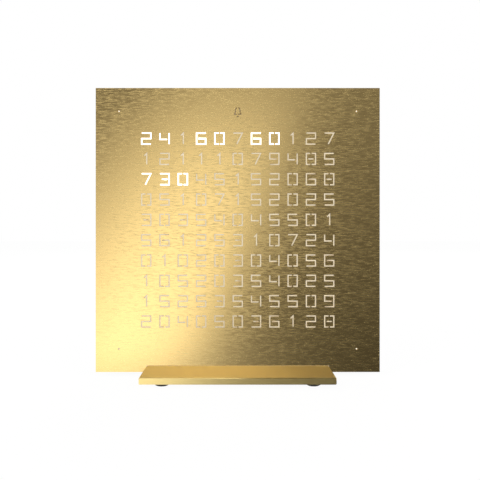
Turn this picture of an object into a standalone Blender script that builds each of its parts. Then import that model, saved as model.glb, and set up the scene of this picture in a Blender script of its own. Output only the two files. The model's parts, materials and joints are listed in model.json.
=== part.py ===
"""Desk clock with a square brushed metal face of cut-out digits, lit from behind, on a flat base.

Metres, +Z up. The face looks along -Y, and the origin is under the middle of the base.
"""

import math

import bmesh
import bpy
from mathutils import Matrix, Vector

# Face: one digit in each cell, read from the top left
ROWS = (
    "24160760127",
    "12111079485",
    "73045152068",
    "05107152025",
    "30354045501",
    "56125310724",
    "01020304056",
    "10520354025",
    "15253545509",
    "20405036128",
)
COLUMN_PITCH = 0.0087
ROW_PITCH = 0.00966
SIDE_BORDER = 0.01965
END_BORDER = 0.0192
DIGIT_WIDTH = 0.005
DIGIT_HEIGHT = 0.0059
STROKE = 0.00065
BRIDGE = 0.0006
DOT_INSET = 0.011
DOT_DIAMETER = 0.001
DOT_SIDES = 8
BELL_INSET = 0.0114
BELL_WIDTH = 0.0036
BELL_HEIGHT = 0.0046
BELL_STROKE = 0.00042
COVER_THICKNESS = 0.0015
PIN_DIAMETER = 0.002
PIN_LENGTH = 0.0024

# Fits that every piece shares
SEAT_GAP = 0.0003
OVERRUN = 0.001
JOIN_DEPTH = 0.0004
LARGE_SIDES = 32
ROUND_SIDES = 16
SMALL_SIDES = 10
SMOOTH_ANGLE = math.radians(40)
MERGE_DISTANCE = 0.00001

# Base and feet
BASE_WIDTH = 0.0866
BASE_DEPTH = 0.07
BASE_THICKNESS = 0.003
BASE_EDGE = 0.0003
FRONT_REACH = 0.0258
FOOT_DIAMETER = 0.008
FOOT_FLAT_DIAMETER = 0.0036
FOOT_STAND = 0.0022
FOOT_RECESS = 0.0006
FOOT_SIDE_INSET = 0.0093
FOOT_END_INSET = 0.0082
FOOT_ARC_STEPS = 5
BASE_SCREW_INSET = 0.0133

# Housing
BODY_DEPTH = 0.018
FRAME_WALL = 0.0048
LEDGE = 0.0052
CORE_WALL = 0.0025
CORE_WIDTH = 0.003
CORE_DEPTH = 0.0036
CORE_END = 0.0165
REAR_THICKNESS = 0.002
REAR_SCREW_INSET = 0.005
MAGNET_DIAMETER = 0.003
MAGNET_LENGTH = 0.003
MAGNET_OFFSET = 0.04

# Light path behind the face
DIFFUSER_THICKNESS = 0.0008
GRID_DEPTH = 0.005
GRID_WALL = 0.0012
GRID_SLOT_WIDTH = 0.0042
GRID_SLOT_LENGTH = 0.026
GRID_SLOTS = 3
BOARD_THICKNESS = 0.0016
LED_SIDE = 0.0016
LED_HEIGHT = 0.0007
DOT_CELL = 0.0032
BELL_CELL_MARGIN = 0.00015
LED_SCREW_INSET = 0.003
LED_SCREW_OFFSET = 0.028
DRIVER_SIDE = 0.007
DRIVER_HEIGHT = 0.001
DRIVER_OFFSET = 0.022
DRIVER_DROP = 0.03

# Main board and what it carries
BOARD_SPACING = 0.0018
MAIN_WIDTH = 0.092
MAIN_HEIGHT = 0.044
MAIN_THICKNESS = 0.0012
MAIN_DROP = 0.027
MAIN_SCREW_INSET = 0.004
BOSS_DIAMETER = 0.0052
COMPONENT_EDGE = 0.00015
HEADER_WIDTH = 0.02
HEADER_HEIGHT = 0.0025
HEADER_INSET = 0.006
CHIP_SIDE = 0.009
CHIP_HEIGHT = 0.001
CHIP_DROP = 0.037
CRYSTAL_WIDTH = 0.005
CRYSTAL_DEPTH = 0.0014
CRYSTAL_HEIGHT = 0.0018
CRYSTAL_OFFSET = 0.011
CAPACITOR_DIAMETER = 0.0023
CAPACITOR_LENGTH = 0.006
CAPACITOR_PLACE_SHARE = 0.4432
CELL_DIAMETER = 0.0125
CELL_THICKNESS = 0.0016
CELL_INSET = 0.016
CELL_BOTTOM_INSET = 0.011
HOLDER_WALL = 0.0009
HOLDER_FLOOR = 0.0004
HOLDER_NOTCH = 0.006

# Setting buttons and their switches
BUTTON_COUNT = 4
BUTTON_PITCH = 0.014
BUTTON_DROP = 0.02
BUTTON_DIAMETER = 0.0054
BUTTON_FLANGE = 0.0006
BUTTON_FLANGE_DIAMETER = 0.0072
BUTTON_RECESS = 0.001
BUTTON_STAND = 0.0008
BUTTON_EDGE = 0.0003
BUTTON_STEM_DIAMETER = 0.0026
BUTTON_TRAVEL = 0.0006
SWITCH_SIDE = 0.006
SWITCH_HEIGHT = 0.0021
SWITCH_FLOOR = 0.0005

# Power inlet
JACK_SIDE = 0.008
JACK_NOSE_DIAMETER = 0.0072
JACK_BORE_DIAMETER = 0.0055
JACK_PIN_DIAMETER = 0.0021
JACK_PIN_SETBACK = 0.001
JACK_FLOOR = 0.001
JACK_SETBACK = 0.0002
JACK_INSET = 0.016
JACK_BOTTOM_INSET = 0.011

# Alarm speaker and its lead
SPEAKER_DIAMETER = 0.028
SPEAKER_DEPTH = 0.0039
SPEAKER_RIM = 0.001
SPEAKER_RIM_WIDTH = 0.0012
SPEAKER_MAGNET_DIAMETER = 0.017
SPEAKER_MAGNET_DEPTH = 0.0016
SPEAKER_CONE_DEPTH = 0.0016
SPEAKER_DOME_DIAMETER = 0.009
SPEAKER_DOME_RISE = 0.0008
SPEAKER_OFFSET = 0.03
SPEAKER_RAISE = 0.024
SPEAKER_RING_WALL = 0.0013
SPEAKER_RING_DEPTH = 0.0018
SOUND_SLOT_WIDTH = 0.0016
SOUND_SLOT_PITCH = 0.004
SOUND_SLOT_COUNT = 5
SOUND_FIELD_DIAMETER = 0.022
LEAD_DIAMETER = 0.0012
LEAD_STEPS = 8
LEAD_PLUG_WIDTH = 0.004
LEAD_PLUG_LENGTH = 0.004
LEAD_PLUG_HEIGHT = 0.0019
LEAD_PLUG_INSET = 0.016
LEAD_PLUG_TOP_INSET = 0.0035

# Screws: head diameter, head height, shaft diameter, shaft length
LED_SCREW = {"head": 0.003, "height": 0.001, "shaft": 0.0016, "length": 0.0063}
MAIN_SCREW = {"head": 0.0034, "height": 0.001, "shaft": 0.0016, "length": 0.0036}
REAR_SCREW = {"head": 0.0054, "height": 0.0012, "shaft": 0.003, "length": 0.0056}
BASE_SCREW = {"head": 0.0058, "height": 0.0014, "shaft": 0.003, "length": 0.0078}
HEAD_SINK = 0.0002
HOLE_SPARE = 0.0005
DRIVE_LENGTH_SHARE = 0.62
DRIVE_WIDTH_SHARE = 0.15
DRIVE_DEPTH_SHARE = 0.6

# Overall sizes and heights
COVER_WIDTH = len(ROWS[0]) * COLUMN_PITCH + 2 * SIDE_BORDER
COVER_HEIGHT = len(ROWS) * ROW_PITCH + 2 * END_BORDER
COVER_OVERHANG = BASE_THICKNESS + SEAT_GAP
HOUSING_WIDTH = COVER_WIDTH - 2 * COVER_OVERHANG
HOUSING_HEIGHT = COVER_HEIGHT - 2 * COVER_OVERHANG
INSIDE_WIDTH = HOUSING_WIDTH - 2 * FRAME_WALL
INSIDE_HEIGHT = HOUSING_HEIGHT - 2 * FRAME_WALL
SHEET_WIDTH = INSIDE_WIDTH - 2 * SEAT_GAP
SHEET_HEIGHT = INSIDE_HEIGHT - 2 * SEAT_GAP
REAR_OPENING_WIDTH = INSIDE_WIDTH - 2 * LEDGE
REAR_OPENING_HEIGHT = INSIDE_HEIGHT - 2 * LEDGE
BASE_BOTTOM_Z = FOOT_STAND
BASE_TOP_Z = BASE_BOTTOM_Z + BASE_THICKNESS
MIDDLE_Z = BASE_BOTTOM_Z + COVER_HEIGHT / 2
HOUSING_BOTTOM_Z = MIDDLE_Z - HOUSING_HEIGHT / 2

# Depths, from the face to the back
COVER_FRONT_Y = FRONT_REACH - BASE_DEPTH / 2
COVER_BACK_Y = COVER_FRONT_Y + COVER_THICKNESS
FRAME_FRONT_Y = COVER_BACK_Y + SEAT_GAP
DIFFUSER_BACK_Y = FRAME_FRONT_Y + DIFFUSER_THICKNESS
GRID_FRONT_Y = DIFFUSER_BACK_Y + SEAT_GAP
GRID_BACK_Y = GRID_FRONT_Y + GRID_DEPTH
BOARD_FRONT_Y = GRID_BACK_Y + SEAT_GAP
BOARD_BACK_Y = BOARD_FRONT_Y + BOARD_THICKNESS
LEDGE_FRONT_Y = BOARD_BACK_Y + SEAT_GAP
MAIN_FRONT_Y = BOARD_BACK_Y + BOARD_SPACING
MAIN_BACK_Y = MAIN_FRONT_Y + MAIN_THICKNESS
PARTS_FRONT_Y = MAIN_BACK_Y + SEAT_GAP
REAR_BACK_Y = COVER_FRONT_Y + BODY_DEPTH
REAR_FRONT_Y = REAR_BACK_Y - REAR_THICKNESS
FRAME_BACK_Y = REAR_FRONT_Y - SEAT_GAP


def mirrored(across, along):
    """The four places at these distances either side of the middle."""
    return [(x, y) for x in (-across, across) for y in (-along, along)]


# Places on the housing, from the middle of the face
RIM_X = (INSIDE_WIDTH + FRAME_WALL) / 2
MAGNET_PLACES = mirrored(RIM_X, MAGNET_OFFSET)
PIN_PLACES = [(-RIM_X, 0), (RIM_X, 0)]
LED_SCREW_X = INSIDE_WIDTH / 2 - LED_SCREW_INSET
LED_SCREW_PLACES = mirrored(LED_SCREW_X, LED_SCREW_OFFSET)
REAR_SCREW_X = HOUSING_WIDTH / 2 - REAR_SCREW_INSET
REAR_SCREW_Z = HOUSING_HEIGHT / 2 - REAR_SCREW_INSET
REAR_SCREW_PLACES = mirrored(REAR_SCREW_X, REAR_SCREW_Z)
MAIN_SCREW_X = MAIN_WIDTH / 2 - MAIN_SCREW_INSET
MAIN_SCREW_Z = MAIN_HEIGHT / 2 - MAIN_SCREW_INSET
CELL_X = MAIN_WIDTH / 2 - CELL_INSET
CELL_SPACE_DIAMETER = CELL_DIAMETER + 2 * SEAT_GAP
HOLDER_DIAMETER = CELL_SPACE_DIAMETER + 2 * HOLDER_WALL
JACK_X = MAIN_WIDTH / 2 - JACK_INSET
LEAD_PLUG_X = MAIN_WIDTH / 2 - LEAD_PLUG_INSET
MAIN_TOP = MAIN_HEIGHT / 2 - MAIN_DROP
MAIN_BOTTOM = -MAIN_HEIGHT / 2 - MAIN_DROP
CELL_Z = MAIN_BOTTOM + CELL_BOTTOM_INSET
JACK_Z = MAIN_BOTTOM + JACK_BOTTOM_INSET
MAIN_SCREW_PLACES = [(x, z - MAIN_DROP) for x, z in mirrored(MAIN_SCREW_X, MAIN_SCREW_Z)]
BUTTON_PLACES = [((i - (BUTTON_COUNT - 1) / 2) * BUTTON_PITCH, -BUTTON_DROP) for i in range(BUTTON_COUNT)]
DOT_X = COVER_WIDTH / 2 - DOT_INSET
DOT_Z = COVER_HEIGHT / 2 - DOT_INSET
DOT_PLACES = mirrored(DOT_X, DOT_Z)
BELL_Z = COVER_HEIGHT / 2 - BELL_INSET
BASE_SCREW_Y = (LEDGE_FRONT_Y + FRAME_BACK_Y) / 2
BASE_SCREW_X = BASE_WIDTH / 2 - BASE_SCREW_INSET
BASE_SCREW_PLACES = [(-BASE_SCREW_X, BASE_SCREW_Y), (BASE_SCREW_X, BASE_SCREW_Y)]
FOOT_X = BASE_WIDTH / 2 - FOOT_SIDE_INSET
FOOT_Y = BASE_DEPTH / 2 - FOOT_END_INSET
FOOT_PLACES = mirrored(FOOT_X, FOOT_Y)

# Colour, roughness and metallic value of each finish
FINISHES = {
    "gold_steel": ((0.78, 0.57, 0.25), 0.34, 1.0),
    "milk_acrylic": ((0.86, 0.82, 0.7), 0.55, 0.0),
    "white_plastic": ((0.82, 0.82, 0.8), 0.5, 0.0),
    "black_plastic": ((0.02, 0.02, 0.022), 0.5, 0.0),
    "white_board": ((0.75, 0.76, 0.74), 0.45, 0.0),
    "green_board": ((0.02, 0.16, 0.07), 0.4, 0.0),
    "chip_black": ((0.015, 0.015, 0.017), 0.4, 0.0),
    "bright_metal": ((0.6, 0.6, 0.6), 0.25, 1.0),
    "magnet_nickel": ((0.55, 0.54, 0.52), 0.2, 1.0),
    "dark_rubber": ((0.03, 0.025, 0.02), 0.75, 0.0),
    "lead_red": ((0.4, 0.03, 0.03), 0.5, 0.0),
}


def clear_scene():
    for obj in list(bpy.data.objects):
        bpy.data.objects.remove(obj, do_unlink=True)


def new_collection(name):
    collection = bpy.data.collections.new(name)
    bpy.context.scene.collection.children.link(collection)
    return collection


def place(name, data, location):
    """New object of the clock, with its own origin at the location."""
    obj = bpy.data.objects.new(name, data)
    obj.location = location
    PARTS.objects.link(obj)
    return obj


def solid(name, bm, location):
    """New mesh object from a bmesh that was made round the object's origin."""
    bmesh.ops.recalc_face_normals(bm, faces=bm.faces)
    mesh = bpy.data.meshes.new(name)
    bm.to_mesh(mesh)
    bm.free()
    return place(name, mesh, location)


def box(name, size, location):
    bm = bmesh.new()
    bmesh.ops.create_cube(bm, size=1)
    bmesh.ops.scale(bm, vec=size, verts=bm.verts)
    return solid(name, bm, location)


def box_between(name, low, high):
    """Box from its lowest corner to its highest corner."""
    low = Vector(low)
    high = Vector(high)
    return box(name, high - low, (low + high) / 2)


def cone(name, radius_low, radius_high, length, location, axis="Y", sides=ROUND_SIDES):
    """Cone or cylinder about an axis, with its low end first."""
    turns = {"X": Matrix.Rotation(math.pi / 2, 3, "Y"), "Y": Matrix.Rotation(-math.pi / 2, 3, "X")}
    bm = bmesh.new()
    bmesh.ops.create_cone(
        bm, cap_ends=True, segments=sides, radius1=radius_low, radius2=radius_high, depth=length
    )
    if axis in turns:
        bmesh.ops.rotate(bm, cent=(0, 0, 0), matrix=turns[axis], verts=bm.verts)
    obj = solid(name, bm, location)
    smooth(obj.data)
    return obj


def pin_along_y(name, diameter, x, z, y_low, y_high, sides=ROUND_SIDES):
    """Cylinder along Y between two depths, at a place measured from the middle of the face."""
    location = (x, (y_low + y_high) / 2, MIDDLE_Z + z)
    return cone(name, diameter / 2, diameter / 2, y_high - y_low, location, "Y", sides)


def plate(name, outlines, y_front, y_back):
    """Flat piece parallel to the face: the first outline is its edge, the others are holes in it."""
    curve = bpy.data.curves.new(name, "CURVE")
    curve.dimensions = "2D"
    curve.fill_mode = "BOTH"
    curve.extrude = (y_back - y_front) / 2
    for outline in outlines:
        spline = curve.splines.new("POLY")
        spline.points.add(len(outline) - 1)
        for point, (x, z) in zip(spline.points, outline):
            point.co = (x, z, 0, 1)
        spline.use_cyclic_u = True
    mesh = baked(place(name, curve, (0, 0, 0)))
    bm = bmesh.new()
    bm.from_mesh(mesh)
    bmesh.ops.remove_doubles(bm, verts=bm.verts, dist=MERGE_DISTANCE)
    bm.to_mesh(mesh)
    bm.free()
    obj = place(name, mesh, (0, (y_front + y_back) / 2, MIDDLE_Z))
    obj.rotation_euler.x = math.pi / 2
    return obj


def turned(name, profile, location, sides=ROUND_SIDES):
    """Round piece about its own Z axis, from a profile of radius and height that runs down its outer side."""
    bm = bmesh.new()
    points = [bm.verts.new((radius, 0, height)) for radius, height in profile]
    for first, second in zip(points, points[1:]):
        bm.edges.new((first, second))
    mesh = bpy.data.meshes.new(name)
    bm.to_mesh(mesh)
    bm.free()
    obj = place(name, mesh, location)
    screw = obj.modifiers.new("turn", "SCREW")
    screw.steps = sides
    screw.render_steps = sides
    screw.use_merge_vertices = True
    screw.merge_threshold = MERGE_DISTANCE
    return obj


def smooth(mesh):
    """Smooth shading that keeps the corners sharp."""
    mesh.shade_smooth()
    mesh.set_sharp_from_angle(angle=SMOOTH_ANGLE)


def baked(obj):
    """The object's evaluated shape as a mesh of its own, with the object removed."""
    bpy.context.view_layer.update()
    graph = bpy.context.evaluated_depsgraph_get()
    mesh = bpy.data.meshes.new_from_object(obj.evaluated_get(graph))
    mesh.name = obj.name
    bpy.data.objects.remove(obj)
    return mesh


def smoothed(obj):
    """The baked shape of the object, shaded smooth."""
    mesh = baked(obj)
    smooth(mesh)
    return mesh


def bevel_edges(part, width):
    bevel = part.modifiers.new("edges", "BEVEL")
    bevel.width = width
    bevel.segments = 1


def combine(part, tools, operation, solver="EXACT"):
    for tool in tools:
        modifier = part.modifiers.new(tool.name, "BOOLEAN")
        modifier.operation = operation
        modifier.solver = solver
        modifier.object = tool
        PARTS.objects.unlink(tool)
        TOOLS.objects.link(tool)
        tool.hide_render = True
        tool.display_type = "WIRE"


def cut(part, *tools, solver="EXACT"):
    combine(part, tools, "DIFFERENCE", solver)


def join(part, *tools, solver="EXACT"):
    combine(part, tools, "UNION", solver)


def drill(part, name, diameter, places, y_low, y_high, sides=SMALL_SIDES):
    """Holes along Y that a piece of this diameter fits into with the shared gap."""
    for x, z in places:
        cut(part, pin_along_y(name, diameter + 2 * SEAT_GAP, x, z, y_low, y_high, sides))


def finish(part, finish_name):
    """Gives the part its material, made once for each finish."""
    material = bpy.data.materials.get(finish_name)
    if material is None:
        colour, roughness, metallic = FINISHES[finish_name]
        material = bpy.data.materials.new(finish_name)
        material.use_nodes = True
        shader = material.node_tree.nodes["Principled BSDF"]
        shader.inputs["Base Color"].default_value = (*colour, 1)
        shader.inputs["Roughness"].default_value = roughness
        shader.inputs["Metallic"].default_value = metallic
    part.data.materials.clear()
    part.data.materials.append(material)
    return part


def copies(name, mesh, locations, turn=(0, 0, 0)):
    """One object for each location, all of the same mesh."""
    made = []
    for number, location in enumerate(locations, 1):
        obj = place(f"{name}_{number}", mesh, location)
        obj.rotation_euler = turn
        made.append(obj)
    return made


def rectangle(width, height, x=0, z=0):
    left, right = x - width / 2, x + width / 2
    low, high = z - height / 2, z + height / 2
    return [(left, low), (right, low), (right, high), (left, high)]


def circle(diameter, x, z, sides=SMALL_SIDES):
    steps = [2 * math.pi * i / sides for i in range(sides)]
    return [(x + diameter / 2 * math.cos(a), z + diameter / 2 * math.sin(a)) for a in steps]


def stroke_outline(points, width):
    """Outline of a stroke of this width along an open line, with mitred corners and square ends."""
    line = [Vector(point) for point in points]
    directions = [(end - start).normalized() for start, end in zip(line, line[1:])]
    left = []
    right = []
    for index, point in enumerate(line):
        before = directions[max(index - 1, 0)]
        after = directions[min(index, len(directions) - 1)]
        normal = Vector((-before.y, before.x))
        mitre = (normal + Vector((-after.y, after.x))).normalized()
        offset = mitre * (width / 2 / mitre.dot(normal))
        left.append(tuple(point + offset))
        right.append(tuple(point - offset))
    return left + right[::-1]


def digit_strokes():
    """Open lines that draw each digit, in shares of the half width and half height between stroke middles."""
    half_width = (DIGIT_WIDTH - STROKE) / 2
    split_share = BRIDGE / 2 / half_width
    stop_share = 1 - (STROKE / 2 + BRIDGE) / half_width
    left_half_shares = ((-split_share, 1), (-1, 1), (-1, -1), (-split_share, -1))
    right_half_shares = tuple((-x, z) for x, z in left_half_shares)
    two_shares = ((-1, 1), (1, 1), (1, 0), (-1, 0), (-1, -1), (1, -1))
    six_shares = ((1, 1), (-1, 1), (-1, -1), (1, -1), (1, 0), (-stop_share, 0))
    return {
        "0": (left_half_shares, right_half_shares),
        "1": (((-0.45, 0.55), (0.1, 1), (0.1, -1)),),
        "2": (two_shares,),
        "3": (((-1, 1), (1, 1), (1, -1), (-1, -1)), ((-0.6, 0), (stop_share, 0))),
        "4": (((-1, 1), (-1, -0.15), (stop_share, -0.15)), ((1, 1), (1, -1))),
        "5": (tuple((-x, z) for x, z in two_shares),),
        "6": (six_shares,),
        "7": (((-1, 1), (1, 1), (-0.2, -1)),),
        "8": (left_half_shares, right_half_shares, ((-stop_share, 0), (stop_share, 0))),
        "9": (tuple((-x, -z) for x, z in six_shares),),
    }


def cells():
    """Digit of each cell and the cell's middle, from the middle of the face."""
    for row, digits in enumerate(ROWS):
        for column, digit in enumerate(digits):
            x = (column - (len(digits) - 1) / 2) * COLUMN_PITCH
            z = ((len(ROWS) - 1) / 2 - row) * ROW_PITCH
            yield digit, x, z


def scaled_line(shares, half_width, half_height, x=0, z=0):
    return [(x + share_x * half_width, z + share_z * half_height) for share_x, share_z in shares]


def digit_outlines():
    strokes = digit_strokes()
    half_width = (DIGIT_WIDTH - STROKE) / 2
    half_height = (DIGIT_HEIGHT - STROKE) / 2
    for digit, x, z in cells():
        for shares in strokes[digit]:
            yield stroke_outline(scaled_line(shares, half_width, half_height, x, z), STROKE)


def bell_outlines():
    """Alarm bell in two halves with a clapper, so that no metal falls out of it."""
    half_width = (BELL_WIDTH - BELL_STROKE) / 2
    half_height = (BELL_HEIGHT - BELL_STROKE) / 2
    split_share = BRIDGE / 2 / half_width
    left_shares = ((-split_share, 1), (-0.62, 0.72), (-0.7, -0.1), (-1, -0.5), (-split_share, -0.5))
    clapper_shares = ((-0.3, -1), (0.3, -1))
    right_shares = tuple((-x, z) for x, z in left_shares)
    for shares in (left_shares, right_shares, clapper_shares):
        yield stroke_outline(scaled_line(shares, half_width, half_height, 0, BELL_Z), BELL_STROKE)


def front_cover():
    """Metal face with its digits cut through, notched round the base, and two locating pins behind."""
    side = COVER_WIDTH / 2
    end = COVER_HEIGHT / 2
    notch = BASE_WIDTH / 2 + SEAT_GAP
    notch_top = COVER_OVERHANG - end
    edge = [(-side, end), (side, end), (side, -end), (notch, -end), (notch, notch_top)]
    edge += [(-notch, notch_top), (-notch, -end), (-side, -end)]
    dots = [circle(DOT_DIAMETER, x, z, DOT_SIDES) for x, z in DOT_PLACES]
    outlines = [edge, *digit_outlines(), *dots, *bell_outlines()]
    cover = plate("front_cover", outlines, COVER_FRONT_Y, COVER_BACK_Y)
    for number, (x, z) in enumerate(PIN_PLACES, 1):
        y_low = COVER_BACK_Y - JOIN_DEPTH
        y_high = COVER_BACK_Y + PIN_LENGTH
        pin = pin_along_y(f"locating_pin_{number}", PIN_DIAMETER, x, z, y_low, y_high, SMALL_SIDES)
        join(cover, pin, solver="MANIFOLD")
    finish(cover, "gold_steel")


def diffuser_sheet():
    sheet = plate("diffuser_sheet", [rectangle(SHEET_WIDTH, SHEET_HEIGHT)], FRAME_FRONT_Y, DIFFUSER_BACK_Y)
    finish(sheet, "milk_acrylic")


def grid_slots():
    """Openings that lighten the border of the light grid, on all four sides."""
    side_x = LED_SCREW_X - LED_SCREW["head"] / 2 - SEAT_GAP - GRID_WALL - GRID_SLOT_WIDTH / 2
    end_z = BELL_Z - BELL_HEIGHT / 2 - BELL_CELL_MARGIN - GRID_WALL - GRID_SLOT_WIDTH / 2
    pitch = GRID_SLOT_LENGTH + 2 * GRID_WALL
    for number in range(GRID_SLOTS):
        along = (number - (GRID_SLOTS - 1) / 2) * pitch
        for sign in (-1, 1):
            yield rectangle(GRID_SLOT_WIDTH, GRID_SLOT_LENGTH, sign * side_x, along)
            yield rectangle(GRID_SLOT_LENGTH, GRID_SLOT_WIDTH, along, sign * end_z)


def light_grid():
    """Deep grid that keeps the light of each digit, dot and bell apart."""
    outlines = [rectangle(SHEET_WIDTH, SHEET_HEIGHT)]
    for _, x, z in cells():
        outlines.append(rectangle(COLUMN_PITCH - GRID_WALL, ROW_PITCH - GRID_WALL, x, z))
    outlines += [rectangle(DOT_CELL, DOT_CELL, x, z) for x, z in DOT_PLACES]
    bell_width = BELL_WIDTH + 2 * BELL_CELL_MARGIN
    bell_height = BELL_HEIGHT + 2 * BELL_CELL_MARGIN
    outlines.append(rectangle(bell_width, bell_height, 0, BELL_Z))
    outlines += [circle(LED_SCREW["head"] + 2 * SEAT_GAP, x, z) for x, z in LED_SCREW_PLACES]
    outlines += grid_slots()
    finish(plate("light_grid", outlines, GRID_FRONT_Y, GRID_BACK_Y), "white_plastic")


def led_board():
    """Circuit board the size of the grid, with one light in each of its cells."""
    outlines = [rectangle(SHEET_WIDTH, SHEET_HEIGHT)]
    outlines += [circle(LED_SCREW["shaft"] + 2 * SEAT_GAP, x, z) for x, z in LED_SCREW_PLACES]
    board = plate("led_board", outlines, BOARD_FRONT_Y, BOARD_BACK_Y)
    bm = bmesh.new()
    places = [(x, z) for _, x, z in cells()] + DOT_PLACES + [(0, BELL_Z)]
    depth = LED_HEIGHT + JOIN_DEPTH
    y = BOARD_FRONT_Y - LED_HEIGHT + depth / 2
    for x, z in places:
        made = bmesh.ops.create_cube(bm, size=1)
        bmesh.ops.scale(bm, vec=(LED_SIDE, depth, LED_SIDE), verts=made["verts"])
        bmesh.ops.translate(bm, vec=(x, y, MIDDLE_Z + z), verts=made["verts"])
    join(board, solid("leds", bm, (0, 0, 0)), solver="MANIFOLD")
    finish(board, "white_board")


def housing_frame():
    """Square frame that the face, the boards and the back are fixed to, with a ledge behind the LED board."""
    side = HOUSING_WIDTH / 2
    end = HOUSING_HEIGHT / 2
    frame = box_between(
        "housing_frame", (-side, FRAME_FRONT_Y, MIDDLE_Z - end), (side, FRAME_BACK_Y, MIDDLE_Z + end)
    )
    front = box_between(
        "front_opening",
        (-INSIDE_WIDTH / 2, FRAME_FRONT_Y - OVERRUN, MIDDLE_Z - INSIDE_HEIGHT / 2),
        (INSIDE_WIDTH / 2, LEDGE_FRONT_Y, MIDDLE_Z + INSIDE_HEIGHT / 2),
    )
    rear = box_between(
        "rear_opening",
        (-REAR_OPENING_WIDTH / 2, LEDGE_FRONT_Y - OVERRUN, MIDDLE_Z - REAR_OPENING_HEIGHT / 2),
        (REAR_OPENING_WIDTH / 2, FRAME_BACK_Y + OVERRUN, MIDDLE_Z + REAR_OPENING_HEIGHT / 2),
    )
    cut(frame, front, rear)
    core_y = (FRAME_BACK_Y - CORE_DEPTH, FRAME_BACK_Y + OVERRUN)
    core_z = end - CORE_END
    for sign in (-1, 1):
        edges = sorted((sign * (side - CORE_WALL), sign * (side - CORE_WALL - CORE_WIDTH)))
        core = box_between(
            "side_core", (edges[0], core_y[0], MIDDLE_Z - core_z), (edges[1], core_y[1], MIDDLE_Z + core_z)
        )
        cut(frame, core)
    core_top = MIDDLE_Z + end - CORE_WALL
    core_x = side - CORE_END
    top_low = (-core_x, core_y[0], core_top - CORE_WIDTH)
    cut(frame, box_between("top_core", top_low, (core_x, core_y[1], core_top)))
    frame_holes(frame)
    finish(frame, "black_plastic")


def frame_holes(frame):
    """Pockets for the magnets and the face's pins, and blind holes for three sets of screws."""
    start = FRAME_FRONT_Y - OVERRUN
    magnet_end = FRAME_FRONT_Y + SEAT_GAP + MAGNET_LENGTH + SEAT_GAP
    drill(frame, "magnet_pocket", MAGNET_DIAMETER, MAGNET_PLACES, start, magnet_end)
    drill(frame, "pin_hole", PIN_DIAMETER, PIN_PLACES, start, COVER_BACK_Y + PIN_LENGTH + HOLE_SPARE)
    led_end = BOARD_FRONT_Y - SEAT_GAP + LED_SCREW["length"] + HOLE_SPARE
    drill(frame, "led_screw_hole", LED_SCREW["shaft"], LED_SCREW_PLACES, LEDGE_FRONT_Y - OVERRUN, led_end)
    rear_start = REAR_BACK_Y - HEAD_SINK - REAR_SCREW["height"] - REAR_SCREW["length"] - HOLE_SPARE
    rear_end = FRAME_BACK_Y + OVERRUN
    drill(frame, "rear_screw_hole", REAR_SCREW["shaft"], REAR_SCREW_PLACES, rear_start, rear_end)
    for x, y in BASE_SCREW_PLACES:
        top = BASE_BOTTOM_Z + HEAD_SINK + BASE_SCREW["height"] + BASE_SCREW["length"] + HOLE_SPARE
        length = top - HOUSING_BOTTOM_Z + OVERRUN
        radius = BASE_SCREW["shaft"] / 2 + SEAT_GAP
        middle = (x, y, top - length / 2)
        cut(frame, cone("base_screw_hole", radius, radius, length, middle, "Z", SMALL_SIDES))


def rear_cover():
    """Flat back with bosses for the main board, a ring for the speaker, and its holes and slots."""
    side = HOUSING_WIDTH / 2
    end = HOUSING_HEIGHT / 2
    back = box_between(
        "rear_cover", (-side, REAR_FRONT_Y, MIDDLE_Z - end), (side, REAR_BACK_Y, MIDDLE_Z + end)
    )
    before = REAR_FRONT_Y - OVERRUN
    past = REAR_BACK_Y + OVERRUN
    root = REAR_FRONT_Y + JOIN_DEPTH
    for x, z in MAIN_SCREW_PLACES:
        join(back, pin_along_y("boss", BOSS_DIAMETER, x, z, PARTS_FRONT_Y, root, SMALL_SIDES))
    ring_inside = SPEAKER_DIAMETER + 2 * SEAT_GAP
    ring_outside = ring_inside + 2 * SPEAKER_RING_WALL
    ring_front = REAR_FRONT_Y - SPEAKER_RING_DEPTH
    ring_place = (SPEAKER_OFFSET, SPEAKER_RAISE)
    ring = pin_along_y("speaker_ring", ring_outside, *ring_place, ring_front, root, LARGE_SIDES)
    seat_front = ring_front - OVERRUN
    cut(ring, pin_along_y("speaker_seat", ring_inside, *ring_place, seat_front, REAR_BACK_Y, LARGE_SIDES))
    join(back, ring)
    boss_end = MAIN_FRONT_Y - SEAT_GAP + MAIN_SCREW["length"] + HOLE_SPARE
    drill(back, "boss_hole", MAIN_SCREW["shaft"], MAIN_SCREW_PLACES, PARTS_FRONT_Y - OVERRUN, boss_end)
    head_seat = REAR_BACK_Y - HEAD_SINK - REAR_SCREW["height"] - SEAT_GAP
    drill(back, "screw_head_recess", REAR_SCREW["head"], REAR_SCREW_PLACES, head_seat, past, ROUND_SIDES)
    drill(back, "screw_passage", REAR_SCREW["shaft"], REAR_SCREW_PLACES, before, past)
    flange_seat = REAR_FRONT_Y + BUTTON_RECESS
    drill(back, "flange_recess", BUTTON_FLANGE_DIAMETER, BUTTON_PLACES, before, flange_seat, ROUND_SIDES)
    drill(back, "button_hole", BUTTON_DIAMETER, BUTTON_PLACES, before, past, ROUND_SIDES)
    drill(back, "jack_hole", JACK_NOSE_DIAMETER, [(JACK_X, JACK_Z)], before, past, ROUND_SIDES)
    for number in range(SOUND_SLOT_COUNT):
        across = (number - (SOUND_SLOT_COUNT - 1) / 2) * SOUND_SLOT_PITCH
        height = 2 * math.sqrt((SOUND_FIELD_DIAMETER / 2) ** 2 - across**2)
        size = (SOUND_SLOT_WIDTH, REAR_THICKNESS + 2 * OVERRUN, height)
        middle_y = (REAR_FRONT_Y + REAR_BACK_Y) / 2
        slot = box("sound_slot", size, (SPEAKER_OFFSET + across, middle_y, MIDDLE_Z + SPEAKER_RAISE))
        cut(back, slot, solver="MANIFOLD")
    finish(back, "black_plastic")


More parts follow.
